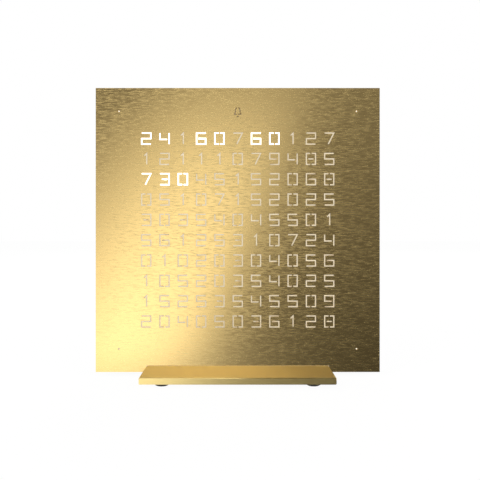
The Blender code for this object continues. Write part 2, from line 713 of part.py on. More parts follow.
def main_board():
    outlines = [rectangle(MAIN_WIDTH, MAIN_HEIGHT, 0, -MAIN_DROP)]
    opening = JACK_SIDE + 2 * SEAT_GAP
    outlines.append(rectangle(opening, opening, JACK_X, JACK_Z))
    outlines += [circle(MAIN_SCREW["shaft"] + 2 * SEAT_GAP, x, z) for x, z in MAIN_SCREW_PLACES]
    finish(plate("main_board", outlines, MAIN_FRONT_Y, MAIN_BACK_Y), "green_board")


def block(name, width, height, x, z, y_low, y_high, finish_name):
    """Small box-shaped component at a place measured from the middle of the face."""
    low = (x - width / 2, y_low, MIDDLE_Z + z - height / 2)
    high = (x + width / 2, y_high, MIDDLE_Z + z + height / 2)
    part = box_between(name, low, high)
    bevel_edges(part, COMPONENT_EDGE)
    finish(part, finish_name)


def board_components():
    """Chips, crystal and connector of the boards, and the capacitor between the chip and the coin cell."""
    driver_front = BOARD_BACK_Y + SEAT_GAP
    for number, sign in enumerate((-1, 1), 1):
        x = sign * DRIVER_OFFSET
        name = f"led_driver_chip_{number}"
        driver_back = driver_front + DRIVER_HEIGHT
        block(name, DRIVER_SIDE, DRIVER_SIDE, x, -DRIVER_DROP, driver_front, driver_back, "chip_black")
    header_back = MAIN_FRONT_Y - SEAT_GAP
    header = (HEADER_WIDTH, HEADER_HEIGHT, 0, MAIN_TOP - HEADER_INSET)
    block("board_header", *header, driver_front, header_back, "chip_black")
    chip_back = PARTS_FRONT_Y + CHIP_HEIGHT
    block("controller_chip", CHIP_SIDE, CHIP_SIDE, 0, -CHIP_DROP, PARTS_FRONT_Y, chip_back, "chip_black")
    crystal = (CRYSTAL_WIDTH, CRYSTAL_HEIGHT, CRYSTAL_OFFSET, -CHIP_DROP)
    block("clock_crystal", *crystal, PARTS_FRONT_Y, PARTS_FRONT_Y + CRYSTAL_DEPTH, "bright_metal")
    radius = CAPACITOR_DIAMETER / 2
    chip_end = CHIP_SIDE / 2
    cell_end = CELL_X - HOLDER_DIAMETER / 2
    offset = chip_end + (cell_end - chip_end) * CAPACITOR_PLACE_SHARE
    location = (-offset, PARTS_FRONT_Y + radius, MIDDLE_Z - CHIP_DROP)
    capacitor = cone("storage_capacitor", radius, radius, CAPACITOR_LENGTH, location, "X", SMALL_SIDES)
    finish(capacitor, "bright_metal")


def coin_cell():
    """Backup cell in its open holder, which has a notch to lift the cell out."""
    x = -CELL_X
    z = CELL_Z
    floor = PARTS_FRONT_Y + HOLDER_FLOOR
    cell_front = floor + SEAT_GAP
    cell_back = cell_front + CELL_THICKNESS
    holder = pin_along_y("cell_holder", HOLDER_DIAMETER, x, z, PARTS_FRONT_Y, cell_back)
    cut(holder, pin_along_y("cell_space", CELL_SPACE_DIAMETER, x, z, floor, cell_back + OVERRUN))
    notch_low = (x - HOLDER_NOTCH / 2, floor, MIDDLE_Z + z)
    notch_high = (x + HOLDER_NOTCH / 2, cell_back + OVERRUN, MIDDLE_Z + z + HOLDER_DIAMETER / 2 + OVERRUN)
    cut(holder, box_between("cell_notch", notch_low, notch_high))
    finish(holder, "black_plastic")
    finish(pin_along_y("coin_cell", CELL_DIAMETER, x, z, cell_front, cell_back), "bright_metal")


def setting_buttons():
    """Round buttons that come through the back, each with a stem in the switch it presses."""
    switch_back = PARTS_FRONT_Y + SWITCH_HEIGHT
    well = PARTS_FRONT_Y + SWITCH_FLOOR
    stem_end = well + BUTTON_TRAVEL + SEAT_GAP
    flange_back = REAR_FRONT_Y + BUTTON_RECESS - SEAT_GAP
    flange_front = flange_back - BUTTON_FLANGE
    cap_back = REAR_BACK_Y + BUTTON_STAND
    cap = BUTTON_DIAMETER / 2
    flange = BUTTON_FLANGE_DIAMETER / 2
    stem = BUTTON_STEM_DIAMETER / 2
    profile = [(0, cap_back), (cap - BUTTON_EDGE, cap_back), (cap, cap_back - BUTTON_EDGE)]
    profile += [(cap, flange_back), (flange, flange_back), (flange, flange_front), (stem, flange_front)]
    profile += [(stem, stem_end), (0, stem_end)]
    shape = smoothed(turned("setting_button", [(r, y - flange_back) for r, y in profile], (0, 0, 0)))
    places = [(x, flange_back, MIDDLE_Z + z) for x, z in BUTTON_PLACES]
    for button in copies("setting_button", shape, places, (-math.pi / 2, 0, 0)):
        finish(button, "black_plastic")
    for number, (x, z) in enumerate(BUTTON_PLACES, 1):
        low = (x - SWITCH_SIDE / 2, PARTS_FRONT_Y, MIDDLE_Z + z - SWITCH_SIDE / 2)
        high = (x + SWITCH_SIDE / 2, switch_back, MIDDLE_Z + z + SWITCH_SIDE / 2)
        switch = box_between(f"button_switch_{number}", low, high)
        bore = BUTTON_STEM_DIAMETER + 2 * SEAT_GAP
        cut(switch, pin_along_y("stem_well", bore, x, z, well, switch_back + OVERRUN, SMALL_SIDES))
        finish(switch, "chip_black")


def power_jack():
    """Round power inlet with a centre pin, through the main board and flush with the back."""
    x = JACK_X
    z = JACK_Z
    front = BOARD_BACK_Y + 2 * SEAT_GAP
    shoulder = REAR_FRONT_Y - SEAT_GAP
    mouth = REAR_BACK_Y - JACK_SETBACK
    low = (x - JACK_SIDE / 2, front, MIDDLE_Z + z - JACK_SIDE / 2)
    high = (x + JACK_SIDE / 2, shoulder, MIDDLE_Z + z + JACK_SIDE / 2)
    jack = box_between("power_jack", low, high)
    join(jack, pin_along_y("jack_nose", JACK_NOSE_DIAMETER, x, z, shoulder - JOIN_DEPTH, mouth))
    floor = front + JACK_FLOOR
    cut(jack, pin_along_y("jack_bore", JACK_BORE_DIAMETER, x, z, floor, mouth + OVERRUN))
    pin_end = mouth - JACK_PIN_SETBACK
    join(jack, pin_along_y("jack_pin", JACK_PIN_DIAMETER, x, z, floor - JOIN_DEPTH, pin_end, SMALL_SIDES))
    finish(jack, "black_plastic")


def alarm_speaker():
    """Flat speaker: rim, cone with a dome in its middle, and a tapered basket down to its magnet."""
    rim = SPEAKER_DIAMETER / 2
    cone_edge = rim - SPEAKER_RIM_WIDTH
    dome = SPEAKER_DOME_DIAMETER / 2
    magnet = SPEAKER_MAGNET_DIAMETER / 2
    profile = [(0, SPEAKER_DOME_RISE - SPEAKER_CONE_DEPTH), (dome, -SPEAKER_CONE_DEPTH)]
    profile += [(cone_edge, -SPEAKER_RIM / 2), (cone_edge, 0), (rim, 0), (rim, -SPEAKER_RIM)]
    profile += [(magnet, SPEAKER_MAGNET_DEPTH - SPEAKER_DEPTH), (magnet, -SPEAKER_DEPTH), (0, -SPEAKER_DEPTH)]
    location = (SPEAKER_OFFSET, REAR_FRONT_Y - SEAT_GAP, MIDDLE_Z + SPEAKER_RAISE)
    shape = smoothed(turned("alarm_speaker", profile, (0, 0, 0), LARGE_SIDES))
    speaker = place("alarm_speaker", shape, location)
    speaker.rotation_euler.x = -math.pi / 2
    finish(speaker, "bright_metal")


def speaker_lead():
    """Lead from the speaker's magnet down to its plug on the main board."""
    plug_back = PARTS_FRONT_Y + LEAD_PLUG_HEIGHT
    plug_z = MAIN_TOP - LEAD_PLUG_TOP_INSET
    plug = (LEAD_PLUG_WIDTH, LEAD_PLUG_LENGTH, LEAD_PLUG_X, plug_z)
    block("lead_plug", *plug, PARTS_FRONT_Y, plug_back, "white_plastic")
    start_y = REAR_FRONT_Y - SEAT_GAP - SPEAKER_DEPTH + LEAD_DIAMETER / 2
    end_y = (PARTS_FRONT_Y + plug_back) / 2
    start_z = SPEAKER_RAISE - SPEAKER_MAGNET_DIAMETER / 2 - SEAT_GAP
    end_z = plug_z + LEAD_PLUG_LENGTH / 2 + SEAT_GAP
    path = []
    for step in range(LEAD_STEPS + 1):
        share = step / LEAD_STEPS
        eased_share = (1 - math.cos(math.pi * share)) / 2
        x = (LEAD_PLUG_X - SPEAKER_OFFSET) * eased_share
        y = start_y + (end_y - start_y) * eased_share
        path.append((x, y, start_z + (end_z - start_z) * share))
    curve = bpy.data.curves.new("speaker_lead", "CURVE")
    curve.dimensions = "3D"
    curve.bevel_depth = LEAD_DIAMETER / 2
    curve.bevel_resolution = 2
    curve.use_fill_caps = True
    spline = curve.splines.new("POLY")
    spline.points.add(len(path) - 1)
    for point, place_on_path in zip(spline.points, path):
        point.co = (*place_on_path, 1)
    finish(place("speaker_lead", curve, (SPEAKER_OFFSET, 0, MIDDLE_Z)), "lead_red")


def screws(name, sizes, locations, turn, countersunk=False):
    """Set of like screws with a cross recess, their heads along their own +Z and seated at their origins."""
    head = sizes["head"] / 2
    shaft = sizes["shaft"] / 2
    under_head = [(shaft, 0)] if countersunk else [(head, 0), (shaft, 0)]
    profile = [(0, sizes["height"]), (head, sizes["height"]), *under_head]
    profile += [(shaft, -sizes["length"]), (0, -sizes["length"])]
    screw = turned(name, profile, (0, 0, 0), SMALL_SIDES)
    long = sizes["head"] * DRIVE_LENGTH_SHARE
    narrow = sizes["head"] * DRIVE_WIDTH_SHARE
    floor = sizes["height"] * (1 - DRIVE_DEPTH_SHARE)
    depth = sizes["height"] + OVERRUN - floor
    sizes_of_slots = ((long, narrow, depth), (narrow, long, depth))
    slots = [box("drive_slot", size, (0, 0, floor + depth / 2)) for size in sizes_of_slots]
    cut(screw, *slots)
    shape = smoothed(screw)
    for slot in slots:
        bpy.data.objects.remove(slot)
    for copy in copies(name, shape, locations, turn):
        finish(copy, "bright_metal")


def all_screws():
    """Screws of the LED board, the main board, the back and the base."""
    forward = (math.pi / 2, 0, 0)
    backward = (-math.pi / 2, 0, 0)
    downward = (math.pi, 0, 0)
    rear_seat = REAR_BACK_Y - HEAD_SINK - REAR_SCREW["height"]
    sets = (
        ("led_board_screw", LED_SCREW, LED_SCREW_PLACES, BOARD_FRONT_Y - SEAT_GAP, forward),
        ("main_board_screw", MAIN_SCREW, MAIN_SCREW_PLACES, MAIN_FRONT_Y - SEAT_GAP, forward),
        ("rear_cover_screw", REAR_SCREW, REAR_SCREW_PLACES, rear_seat, backward),
    )
    for name, sizes, places, seat_y, turn in sets:
        screws(name, sizes, [(x, seat_y, MIDDLE_Z + z) for x, z in places], turn)
    base_seat = BASE_BOTTOM_Z + HEAD_SINK + BASE_SCREW["height"]
    screws("base_screw", BASE_SCREW, [(x, y, base_seat) for x, y in BASE_SCREW_PLACES], downward, True)


def cover_magnets():
    front = FRAME_FRONT_Y + SEAT_GAP
    for number, (x, z) in enumerate(MAGNET_PLACES, 1):
        name = f"cover_magnet_{number}"
        magnet = pin_along_y(name, MAGNET_DIAMETER, x, z, front, front + MAGNET_LENGTH, SMALL_SIDES)
        finish(magnet, "magnet_nickel")


def base_plate():
    """Flat metal base with sunk screw holes and shallow seats for the feet underneath."""
    middle = (0, 0, (BASE_BOTTOM_Z + BASE_TOP_Z) / 2)
    base = box("base_plate", (BASE_WIDTH, BASE_DEPTH, BASE_THICKNESS), middle)
    bevel_edges(base, BASE_EDGE)
    for x, y in FOOT_PLACES:
        depth = FOOT_RECESS + OVERRUN
        radius = FOOT_DIAMETER / 2 + SEAT_GAP
        z = BASE_BOTTOM_Z + FOOT_RECESS - depth / 2
        cut(base, cone("foot_seat", radius, radius, depth, (x, y, z), "Z"))
    wide = BASE_SCREW["head"] / 2 + SEAT_GAP
    narrow = BASE_SCREW["shaft"] / 2 + SEAT_GAP
    for x, y in BASE_SCREW_PLACES:
        sink = HEAD_SINK + BASE_SCREW["height"]
        cut(base, cone("head_seat", wide, narrow, sink, (x, y, BASE_BOTTOM_Z + sink / 2), "Z"))
        straight = 2 * OVERRUN + BASE_THICKNESS
        cut(base, cone("screw_passage", narrow, narrow, straight, (x, y, middle[2]), "Z"))
    finish(base, "gold_steel")


def rubber_feet():
    """Low domes with a flat underside, each seated in the base."""
    radius = FOOT_DIAMETER / 2
    flat = FOOT_FLAT_DIAMETER / 2
    top = BASE_BOTTOM_Z + FOOT_RECESS - SEAT_GAP
    profile = [(0, top), (radius, top)]
    for step in range(FOOT_ARC_STEPS + 1):
        angle = math.pi / 2 * step / FOOT_ARC_STEPS
        profile.append((flat + (radius - flat) * math.cos(angle), BASE_BOTTOM_Z * (1 - math.sin(angle))))
    profile.append((0, 0))
    shape = smoothed(turned("foot", profile, (0, 0, 0)))
    for foot in copies("foot", shape, [(x, y, 0) for x, y in FOOT_PLACES]):
        finish(foot, "dark_rubber")


clear_scene()
PARTS = new_collection("word_clock")
TOOLS = new_collection("shaping_tools")
front_cover()
diffuser_sheet()
light_grid()
led_board()
housing_frame()
rear_cover()
main_board()
board_components()
coin_cell()
setting_buttons()
power_jack()
alarm_speaker()
speaker_lead()
all_screws()
cover_magnets()
base_plate()
rubber_feet()
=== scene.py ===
"""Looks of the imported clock: raised digits of its diffuser, surface materials, studio and camera.

Lengths are in metres.
"""

import json
import math

import bmesh
import bpy
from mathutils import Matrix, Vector


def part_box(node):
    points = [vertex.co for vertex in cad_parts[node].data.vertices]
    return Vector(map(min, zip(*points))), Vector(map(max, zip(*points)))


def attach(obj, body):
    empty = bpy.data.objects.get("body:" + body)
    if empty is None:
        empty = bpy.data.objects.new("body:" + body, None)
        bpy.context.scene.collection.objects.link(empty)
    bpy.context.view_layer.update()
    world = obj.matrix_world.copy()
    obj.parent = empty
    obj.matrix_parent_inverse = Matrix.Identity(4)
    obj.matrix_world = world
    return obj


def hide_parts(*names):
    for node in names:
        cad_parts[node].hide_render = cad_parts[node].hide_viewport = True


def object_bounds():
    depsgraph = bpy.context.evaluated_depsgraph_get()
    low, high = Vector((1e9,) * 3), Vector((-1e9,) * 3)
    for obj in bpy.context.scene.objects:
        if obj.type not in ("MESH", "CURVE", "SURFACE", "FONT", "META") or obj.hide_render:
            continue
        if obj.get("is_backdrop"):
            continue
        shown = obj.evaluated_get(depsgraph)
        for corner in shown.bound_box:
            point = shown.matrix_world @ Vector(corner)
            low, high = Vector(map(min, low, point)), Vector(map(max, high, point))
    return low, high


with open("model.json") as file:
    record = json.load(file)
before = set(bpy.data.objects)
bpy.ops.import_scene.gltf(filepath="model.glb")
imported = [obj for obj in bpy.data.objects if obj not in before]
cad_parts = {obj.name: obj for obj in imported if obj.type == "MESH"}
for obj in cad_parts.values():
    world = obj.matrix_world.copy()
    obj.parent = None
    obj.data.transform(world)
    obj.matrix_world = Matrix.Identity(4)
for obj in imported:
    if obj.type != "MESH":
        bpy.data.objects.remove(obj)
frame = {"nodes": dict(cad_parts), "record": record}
CAD_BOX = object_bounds()

# Digits of the face, as the CAD model cuts them
ROWS = (
    "24160760127",
    "12111079485",
    "73045152068",
    "05107152025",
    "30354045501",
    "56125310724",
    "01020304056",
    "10520354025",
    "15253545509",
    "20405036128",
)
LIT_CELLS = {(0, 0), (0, 1), (0, 3), (0, 4), (0, 6), (0, 7), (2, 0), (2, 1), (2, 2)}
COLUMN_PITCH = 0.0087
ROW_PITCH = 0.00966
DIGIT_WIDTH = 0.005
DIGIT_HEIGHT = 0.0059
STROKE = 0.00065
BRIDGE = 0.0006
DOT_OFFSET = 0.0565
LIT_PIPE_DIAMETER = 0.00048
UNLIT_PIPE_DIAMETER = 0.0009
LIGHT_PIPE_SIDES = 24
BELL_WIDTH = 0.0036
BELL_HEIGHT = 0.0046
BELL_STROKE = 0.00042
BELL_OFFSET = 0.0561

# Raised digits, bell and light pipes: gap to the strokes, depth below the face, and root in the diffuser
INLAY_CLEARANCE = 0.00003
INLAY_DEPTH = 0.0001
BELL_DEPTH = 0.0008
INLAY_ROOT = 0.0001

COVER_LOW, COVER_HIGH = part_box("front_cover")
FACE_FRONT_Y = COVER_LOW.y
FACE_MIDDLE_Z = (COVER_LOW.z + COVER_HIGH.z) / 2
SHEET_FRONT_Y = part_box("diffuser_sheet")[0].y

# Notch of the face over the base: its gap in the CAD model, how much closer it sits here, and how near a
# vertex counts as on its edge
SEAT_GAP = 0.0003
NOTCH_SIDE_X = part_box("base_plate")[1].x + SEAT_GAP
NOTCH_TOP_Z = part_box("base_plate")[1].z + SEAT_GAP
NOTCH_CLOSING = 0.0002
TOLERANCE = 0.00005

# Camera, with its lens and sensor in millimetres and its shift in shares of the sensor
CAMERA_ASIDE = 0.0006
CAMERA_DISTANCE = 0.3169
CAMERA_RISE = 0.00143
CAMERA_PLACE = (CAMERA_ASIDE, FACE_FRONT_Y - CAMERA_DISTANCE, FACE_MIDDLE_Z + CAMERA_RISE)
CAMERA_LENS = 50
CAMERA_SENSOR = 36
CAMERA_SHIFT = (0.0021, -0.0271)


def add(tree, kind, inputs=None, **settings):
    """New node, with its settings and its inputs, which are values or other nodes' outputs."""
    made = tree.nodes.new(kind)
    for key, value in settings.items():
        setattr(made, key, value)
    for key, value in (inputs or {}).items():
        if isinstance(value, bpy.types.NodeSocket):
            tree.links.new(value, made.inputs[key])
        else:
            made.inputs[key].default_value = value
    return made


def calc(tree, operation, *values):
    """Output of a Math node."""
    return add(tree, "ShaderNodeMath", dict(enumerate(values)), operation=operation).outputs[0]


def vector_calc(tree, operation, *values):
    """Output of a Vector Math node."""
    return add(tree, "ShaderNodeVectorMath", dict(enumerate(values)), operation=operation).outputs[0]


def remap(tree, value, from_low, from_high, to_low, to_high):
    """The value moved from the first range to the second, and kept within it."""
    inputs = {0: value, 1: from_low, 2: from_high, 3: to_low, 4: to_high}
    return add(tree, "ShaderNodeMapRange", inputs).outputs[0]


def noise(tree, coordinates, scale, detail, roughness=0.5):
    """Noise from 0 to 1 with so many cycles per metre: one number, or one for each axis."""
    cycles = scale if isinstance(scale, tuple) else (scale,) * 3
    stretched = vector_calc(tree, "MULTIPLY", coordinates, cycles)
    inputs = {"Vector": stretched, "Scale": 1.0, "Detail": detail, "Roughness": roughness}
    return add(tree, "ShaderNodeTexNoise", inputs).outputs[0]


def mix_colours(tree, factor, first, second):
    """Blend of two colours, each written as a colour or given as another node's output."""
    inputs = {0: factor}
    for key, colour in ((6, first), (7, second)):
        inputs[key] = colour if isinstance(colour, bpy.types.NodeSocket) else (*colour, 1)
    return add(tree, "ShaderNodeMix", inputs, data_type="RGBA").outputs[2]


def new_material(name):
    """Material with an empty tree, its output and its object coordinates, in metres."""
    material = bpy.data.materials.new(name)
    material.use_nodes = True
    tree = material.node_tree
    tree.nodes.clear()
    output = tree.nodes.new("ShaderNodeOutputMaterial")
    coordinates = add(tree, "ShaderNodeTexCoord").outputs["Object"]
    return material, tree, output, coordinates


def bump(tree, height, distance, strength):
    """Normal of a surface with this relief, whose height runs from 0 to 1 over the distance."""
    inputs = {"Height": height, "Distance": distance, "Strength": strength}
    return add(tree, "ShaderNodeBump", inputs).outputs[0]


def principled(tree, output, **inputs):
    """Surface shader whose inputs are given by their names, with _ for each space."""
    named = {key.replace("_", " "): value for key, value in inputs.items()}
    shader = add(tree, "ShaderNodeBsdfPrincipled", named)
    tree.links.new(shader.outputs[0], output.inputs["Surface"])


# Heights of the fine relief in the bump of metal and sheet, of rubber and of boards
FINE_RELIEF = 0.00001
RUBBER_RELIEF = 0.00002
BOARD_RELIEF = 0.00003

# Brushed metal: cycles of its grain, streaks and tarnish per metre, the upward share of a normal from which
# a face counts as level, and the turn of the stretched gloss
GRAIN = (300, 2200, 2200)
STREAKS = (90, 900, 900)
TARNISH = 14
LEVEL_NORMAL = 0.7
QUARTER_TURN = 0.25


def brushed_gold(name, dark, light, smooth, rough, anisotropy, lacquer=0.0):
    """Gold-coloured steel brushed along X, with fine grain, relief streaks and faint changes of tone."""
    material, tree, output, coordinates = new_material(name)
    grain = noise(tree, coordinates, GRAIN, 4.0, 0.62)
    streaks = noise(tree, coordinates, STREAKS, 3.0, 0.55)
    tone = noise(tree, coordinates, TARNISH, 2.0)
    colour = mix_colours(tree, remap(tree, grain, 0.36, 0.64, 0, 1), dark, light)
    tinted = mix_colours(tree, remap(tree, tone, 0.35, 0.7, 0, 0.4), colour, dark)
    normal = add(tree, "ShaderNodeNewGeometry").outputs["Normal"]
    upward = calc(tree, "ABSOLUTE", add(tree, "ShaderNodeSeparateXYZ", {0: normal}).outputs["Z"])
    level = calc(tree, "GREATER_THAN", upward, LEVEL_NORMAL)
    about_z = add(tree, "ShaderNodeTangent", direction_type="RADIAL", axis="Z").outputs[0]
    about_y = add(tree, "ShaderNodeTangent", direction_type="RADIAL", axis="Y").outputs[0]
    tangents = {0: level, 4: about_z, 5: about_y}
    tangent = add(tree, "ShaderNodeMix", tangents, data_type="VECTOR").outputs[1]
    relief = calc(tree, "ADD", calc(tree, "MULTIPLY", grain, 0.7), calc(tree, "MULTIPLY", streaks, 0.3))
    principled(
        tree, output, Base_Color=tinted, Metallic=1.0,
        Roughness=remap(tree, grain, 0.36, 0.64, smooth, rough),
        Anisotropic=anisotropy, Anisotropic_Rotation=QUARTER_TURN, Tangent=tangent,
        Coat_Weight=lacquer, Coat_Roughness=0.3,
        Normal=bump(tree, relief, FINE_RELIEF, 0.8),
    )
    return material


def moulded_plastic(name, dark, light, roughness, grain_scale, relief):
    """Moulded plastic with a fine eroded texture and a slightly uneven gloss and colour."""
    material, tree, output, coordinates = new_material(name)
    grain = noise(tree, coordinates, grain_scale, 3.0, 0.6)
    cloud = noise(tree, coordinates, 45, 3.0)
    blend = calc(tree, "ADD", calc(tree, "MULTIPLY", grain, 0.6), calc(tree, "MULTIPLY", cloud, 0.4))
    colour = mix_colours(tree, remap(tree, blend, 0.35, 0.65, 0, 1), dark, light)
    principled(
        tree, output, Base_Color=colour,
        Roughness=remap(tree, cloud, 0.3, 0.7, roughness - 0.05, roughness + 0.07),
        Specular_IOR_Level=0.45,
        Normal=bump(tree, grain, relief, 0.7),
    )
    return material


def milk_acrylic(name, dark, light):
    """Milky translucent sheet with a soft sheen."""
    material, tree, output, coordinates = new_material(name)
    cloud = noise(tree, coordinates, 160, 3.0)
    fine = noise(tree, coordinates, 2600, 2.0)
    principled(
        tree, output, Base_Color=mix_colours(tree, remap(tree, cloud, 0.3, 0.7, 0, 1), dark, light),
        Roughness=remap(tree, fine, 0.3, 0.7, 0.45, 0.6),
        Subsurface_Weight=0.15, Subsurface_Radius=(0.001, 0.0009, 0.0006), Subsurface_Scale=0.4,
        Normal=bump(tree, fine, FINE_RELIEF, 0.5),
    )
    return material


def lit_acrylic(name, warm, pale, strength):
    """The same sheet with a light close behind it, a little uneven from cell to cell."""
    material, tree, output, coordinates = new_material(name)
    cloud = noise(tree, coordinates, 90, 2.0)
    principled(
        tree, output, Base_Color=(0.9, 0.88, 0.82, 1), Roughness=0.5,
        Emission_Color=mix_colours(tree, cloud, warm, pale),
        Emission_Strength=strength,
    )
    return material


def plated_metal(name, dark, light, roughness, marks_scale):
    """Plated steel with fine turning marks and a few duller patches."""
    material, tree, output, coordinates = new_material(name)
    marks = noise(tree, coordinates, marks_scale, 3.0, 0.6)
    patches = noise(tree, coordinates, 300, 2.0)
    principled(
        tree, output, Base_Color=mix_colours(tree, remap(tree, patches, 0.35, 0.65, 0, 1), dark, light),
        Metallic=1.0, Roughness=remap(tree, marks, 0.3, 0.7, roughness - 0.06, roughness + 0.1),
        Normal=bump(tree, marks, FINE_RELIEF, 0.5),
    )
    return material


# Circuit boards: their tracks, and the part of each pad's cell that is bare metal
TRACK_WIDTH = 0.00025
TRACK_LENGTH = 0.006
TRACK_PITCH = 0.0016
PADS_PER_METRE = 260
PAD_SHARE = 0.16


def circuit_board(name, mask, track, pad):
    """Board with tracks under its solder mask and a fine glass weave."""
    material, tree, output, coordinates = new_material(name)
    upright = {"Vector": coordinates, "Rotation": (math.pi / 2, 0, 0)}
    turned = add(tree, "ShaderNodeMapping", upright).outputs[0]
    grid = {"Mortar Size": TRACK_WIDTH, "Brick Width": TRACK_LENGTH, "Row Height": TRACK_PITCH}
    tracks = add(tree, "ShaderNodeTexBrick", {"Vector": turned, "Scale": 1.0, **grid}).outputs["Fac"]
    weave = noise(tree, coordinates, 1500, 2.0)
    ground = mix_colours(tree, tracks, mask, track)
    raised = calc(tree, "ADD", tracks, calc(tree, "MULTIPLY", weave, 0.3))
    cells = add(tree, "ShaderNodeTexVoronoi", {"Vector": turned, "Scale": PADS_PER_METRE})
    on_pad = calc(tree, "LESS_THAN", cells.outputs["Distance"], PAD_SHARE)
    colour = mix_colours(tree, on_pad, ground, pad)
    principled(
        tree, output, Base_Color=colour, Roughness=remap(tree, weave, 0.3, 0.7, 0.32, 0.45),
        Normal=bump(tree, raised, BOARD_RELIEF, 0.6),
    )
    return material


def soft_rubber():
    """Matt dark rubber with a chalky bloom."""
    material, tree, output, coordinates = new_material("soft_rubber")
    fine = noise(tree, coordinates, 2200, 3.0, 0.6)
    bloom = remap(tree, noise(tree, coordinates, 350, 3.0), 0.35, 0.7, 0, 1)
    principled(
        tree, output, Base_Color=mix_colours(tree, bloom, (0.022, 0.018, 0.013), (0.05, 0.042, 0.032)),
        Roughness=remap(tree, fine, 0.3, 0.7, 0.62, 0.82), Specular_IOR_Level=0.35,
        Normal=bump(tree, fine, RUBBER_RELIEF, 0.6),
    )
    return material


MATERIALS = {
    "gold_steel": brushed_gold(
        "face_gold", (0.75, 0.535, 0.214), (0.86, 0.635, 0.261),
        smooth=0.05, rough=0.35, anisotropy=0.1,
    ),
    "milk_acrylic": milk_acrylic("milk_acrylic", (0.84, 0.71, 0.51), (0.92, 0.79, 0.58)),
    "white_plastic": moulded_plastic(
        "white_plastic", (0.76, 0.76, 0.73), (0.84, 0.84, 0.82),
        roughness=0.5, grain_scale=3000, relief=0.00001,
    ),
    "black_plastic": moulded_plastic(
        "black_plastic", (0.009, 0.009, 0.01), (0.034, 0.034, 0.036),
        roughness=0.5, grain_scale=1900, relief=0.00006,
    ),
    "white_board": circuit_board("white_board", (0.72, 0.73, 0.71), (0.66, 0.68, 0.66), (0.62, 0.6, 0.55)),
    "green_board": circuit_board("green_board", (0.01, 0.12, 0.05), (0.02, 0.19, 0.08), (0.55, 0.5, 0.38)),
    "chip_black": moulded_plastic(
        "chip_black", (0.01, 0.01, 0.011), (0.022, 0.022, 0.024),
        roughness=0.4, grain_scale=5200, relief=0.000012,
    ),
    "bright_metal": plated_metal(
        "bright_metal", (0.5, 0.5, 0.49), (0.66, 0.66, 0.65), roughness=0.28, marks_scale=3200
    ),
    "magnet_nickel": plated_metal(
        "magnet_nickel", (0.48, 0.46, 0.43), (0.6, 0.58, 0.55), roughness=0.2, marks_scale=1400
    ),
    "dark_rubber": soft_rubber(),
    "lead_red": moulded_plastic(
        "lead_red", (0.33, 0.02, 0.02), (0.45, 0.035, 0.035),
        roughness=0.4, grain_scale=1500, relief=0.00001,
    ),
}
LIT_ACRYLIC = lit_acrylic("lit_acrylic", (1, 0.97, 0.92), (1, 1, 1), strength=1.3)
PIPE_ACRYLIC = lit_acrylic("pipe_acrylic", (1, 0.9, 0.66), (1, 0.94, 0.76), strength=0.75)
BASE_GOLD = brushed_gold(
    "base_gold", (0.77, 0.585, 0.22), (0.84, 0.67, 0.262),
    smooth=0.3, rough=0.4, anisotropy=0.6, lacquer=0.8,
)
SMOOTH_PLASTIC = moulded_plastic(
    "smooth_plastic", (0.02, 0.02, 0.021), (0.036, 0.036, 0.038),
    roughness=0.3, grain_scale=3400, relief=0.000008,
)
SMOOTH_NODES = ("power_jack", *(f"setting_button_{number}" for number in (1, 2, 3, 4)))
OWN_MATERIALS = {"base_plate": BASE_GOLD, **dict.fromkeys(SMOOTH_NODES, SMOOTH_PLASTIC)}

# Smooth shading: how near vertices are welded, and the angle from which an edge stays sharp
WELD_DISTANCE = 0.000001
SHARP_DEGREES = 40


def is_greater(group, value, limit):
    """Output of a geometry node that compares the two."""
    return add(group, "FunctionNodeCompare", {0: value, 1: limit}, operation="GREATER_THAN").outputs[0]


def smooth_rounds():
    """Node group of a modifier that welds faces and smooths the curved ones, with corners kept sharp."""
    group = bpy.data.node_groups.new("smooth_rounds", "GeometryNodeTree")
    group.interface.new_socket("Geometry", in_out="INPUT", socket_type="NodeSocketGeometry")
    group.interface.new_socket("Geometry", in_out="OUTPUT", socket_type="NodeSocketGeometry")
    start = group.nodes.new("NodeGroupInput")
    end = group.nodes.new("NodeGroupOutput")
    near = {"Geometry": start.outputs[0], "Distance": WELD_DISTANCE}
    weld = add(group, "GeometryNodeMergeByDistance", near)
    smooth = {"Geometry": weld.outputs[0], "Shade Smooth": True}
    faces = add(group, "GeometryNodeSetShadeSmooth", smooth, domain="FACE")
    angle = group.nodes.new("GeometryNodeInputMeshEdgeAngle").outputs["Unsigned Angle"]
    sharp = is_greater(group, angle, math.radians(SHARP_DEGREES))
    creased = {"Geometry": faces.outputs[0], "Selection": sharp, "Shade Smooth": False}
    edges = add(group, "GeometryNodeSetShadeSmooth", creased, domain="EDGE")
    group.links.new(edges.outputs[0], end.inputs[0])
    return group


def dress(obj, material, group):
    """Gives a piece its one material and the smoothing modifier."""
    obj.data.materials.clear()
    obj.data.materials.append(material)
    obj.modifiers.new("smooth_rounds", "NODES").node_group = group


def dress_nodes(group):
    """Each CAD node gets its own material or its slot's, and smooth shading on its round faces.

    The base, its screws and its feet show in no mirror image, so none lies on the face.
    """
    slots = {row["node"]: row["material_slot"] for row in frame["record"]["subparts"]}
    for name, node in frame["nodes"].items():
        dress(node, OWN_MATERIALS.get(name, MATERIALS[slots[name]]), group)
        if name.startswith(("base_", "foot_")):
            node.visible_glossy = False


